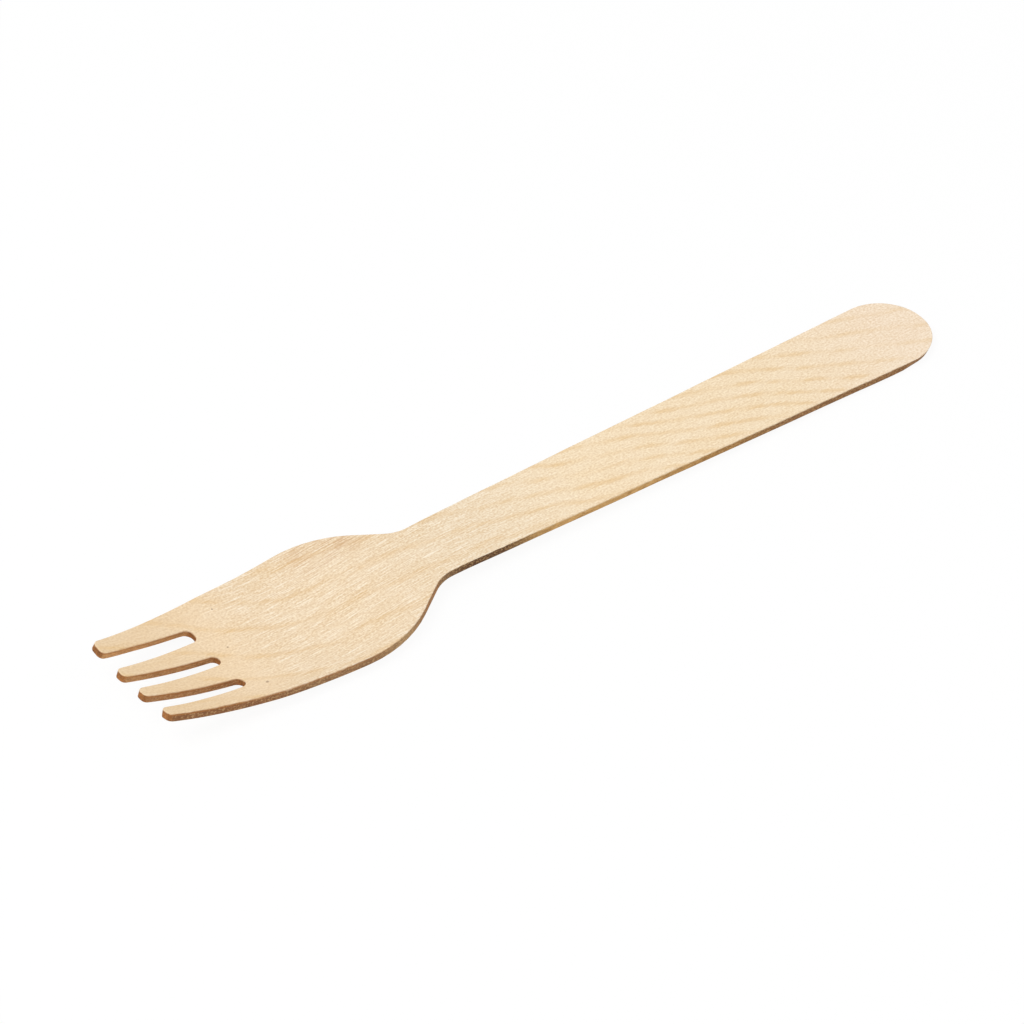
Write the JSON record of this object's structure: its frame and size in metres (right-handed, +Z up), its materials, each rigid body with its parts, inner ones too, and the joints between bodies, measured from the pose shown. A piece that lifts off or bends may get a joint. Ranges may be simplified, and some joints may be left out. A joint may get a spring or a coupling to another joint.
{
  "type": "disposable wooden fork",
  "caption": "Flat wooden fork cut from birch veneer and hot-pressed: blunt tines, a shallow dished head, a narrow neck and a straight handle that widens to a round end.",
  "frame": {"origin": "centre of the bounding box in plan, on the surface the fork lies on", "axes": "+X along the fork from the tines towards the handle's round end, +Y across it, +Z up; the hollow of the head faces up"},
  "size_m": [0.1612, 0.0296, 0.0076],
  "materials": {
    "birch": "bare pressed birch veneer, satin, with fine grain and toasted cut edges"
  },
  "bodies": {
    "root": {"fork": "birch"}
  },
  "joints": []
}
